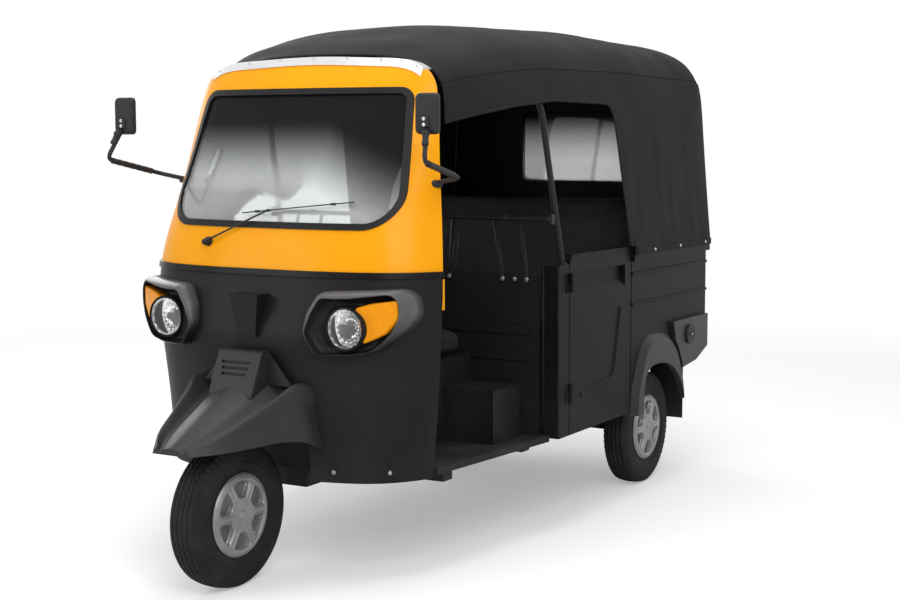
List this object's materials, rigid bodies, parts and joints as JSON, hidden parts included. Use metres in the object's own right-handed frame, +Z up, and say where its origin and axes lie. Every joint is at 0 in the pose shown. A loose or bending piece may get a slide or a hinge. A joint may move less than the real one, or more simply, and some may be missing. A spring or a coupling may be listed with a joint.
{
  "type": "auto rickshaw",
  "caption": "Three-wheeled passenger rickshaw with a handlebar-steered cab, half doors, a passenger bench and a soft top.",
  "frame": {"origin": "on the ground, at the middle of the vehicle's length and width", "axes": "+X forward, +Y to the vehicle's left, +Z up"},
  "size_m": [2.9373, 1.415, 1.9853],
  "materials": {
    "chassis_paint": "satin black paint on pressed steel",
    "floor_paint": "satin black paint with a rubber mat",
    "engine_metal": "plain cast casing",
    "black_paint": "semi-gloss black body paint",
    "yellow_paint": "glossy yellow body paint",
    "black_moulding": "black extruded moulding",
    "clear_glass": "clear laminated glass",
    "lamp_glass": "clear lamp lens over a faceted reflector",
    "rubber_seal": "extruded rubber seal",
    "bright_strip": "brushed strip held by rivets",
    "grey_plastic": "dark grey textured moulding",
    "black_plastic": "black moulded plastic",
    "amber_plastic": "amber ribbed lens",
    "red_plastic": "red ribbed lens",
    "seat_cover": "black leathercloth over foam",
    "tube_paint": "black painted steel tube",
    "rubber_flap": "moulded rubber sheet",
    "canopy_cloth": "black coated cloth",
    "clear_film": "clear flexible window film",
    "tyre_rubber": "ribbed tyre rubber",
    "wheel_silver": "silver painted wheel cover"
  },
  "bodies": {
    "body": {"chassis_frame": "chassis_paint", "floor_pan": "floor_paint", "engine_block": "engine_metal", "rear_arms": "chassis_paint", "cab_lower_panel": "black_paint", "belt_moulding": "black_moulding", "cab_upper_panel": "yellow_paint", "windscreen": "clear_glass", "windscreen_seal": "rubber_seal", "roof_strip": "bright_strip", "headlamp_bezels": "grey_plastic", "headlamps": "lamp_glass", "indicators": "amber_plastic", "badge_block": "grey_plastic", "front_mudguard": "black_plastic", "dashboard": "black_plastic", "mirrors": "black_plastic", "wiper": "black_plastic", "driver_seat_base": "black_paint", "driver_seat": "seat_cover", "partition": "black_paint", "partition_frame": "tube_paint", "bench_base": "black_paint", "bench_seat": "seat_cover", "fence_posts": "black_paint", "body_sides": "black_paint", "tail_corners": "black_plastic", "rear_panel": "black_paint", "rear_fenders": "black_plastic", "mudflaps": "rubber_flap", "tail_lamps": "red_plastic", "canopy": "canopy_cloth", "canopy_frame": "tube_paint", "rear_window": "clear_film"},
    "steering": {"handlebar": "black_plastic", "front_fork": "chassis_paint"},
    "front_wheel": {"front_tyre": "tyre_rubber", "front_rim": "wheel_silver"},
    "rear_wheel_left": {"rear_tyre_left": "tyre_rubber", "rear_rim_left": "wheel_silver"},
    "rear_wheel_right": {"rear_tyre_right": "tyre_rubber", "rear_rim_right": "wheel_silver"},
    "side_door_left": {"door_left": "black_paint"},
    "side_door_right": {"door_right": "black_paint"},
    "engine_hatch": {"rear_hatch": "black_paint"}
  },
  "joints": [
    {"name": "steering_turn", "type": "hinge", "parent": "body", "child": "steering", "pos_m": [1.175, 0, 0.249], "axis": [-0.342, 0, 0.9397], "range_deg": [-32, 32]},
    {"name": "front_wheel_spin", "type": "hinge", "parent": "steering", "child": "front_wheel", "pos_m": [1.175, 0, 0.249], "axis": [0, 1, 0], "continuous": true},
    {"name": "rear_wheel_left_spin", "type": "hinge", "parent": "body", "child": "rear_wheel_left", "pos_m": [-0.955, 0.555, 0.249], "axis": [0, 1, 0], "continuous": true},
    {"name": "rear_wheel_right_spin", "type": "hinge", "parent": "body", "child": "rear_wheel_right", "pos_m": [-0.955, -0.555, 0.249], "axis": [0, 1, 0], "continuous": true},
    {"name": "door_left_swing", "type": "hinge", "parent": "body", "child": "side_door_left", "pos_m": [-0.033, 0.689, 0.72], "axis": [0, 0, -1], "range_deg": [0, 80]},
    {"name": "door_right_swing", "type": "hinge", "parent": "body", "child": "side_door_right", "pos_m": [-0.033, -0.689, 0.72], "axis": [0, 0, 1], "range_deg": [0, 80]},
    {"name": "engine_hatch_swing", "type": "hinge", "parent": "body", "child": "engine_hatch", "pos_m": [-1.463, 0, 0.9065], "axis": [0, 1, 0], "range_deg": [0, 85]}
  ]
}
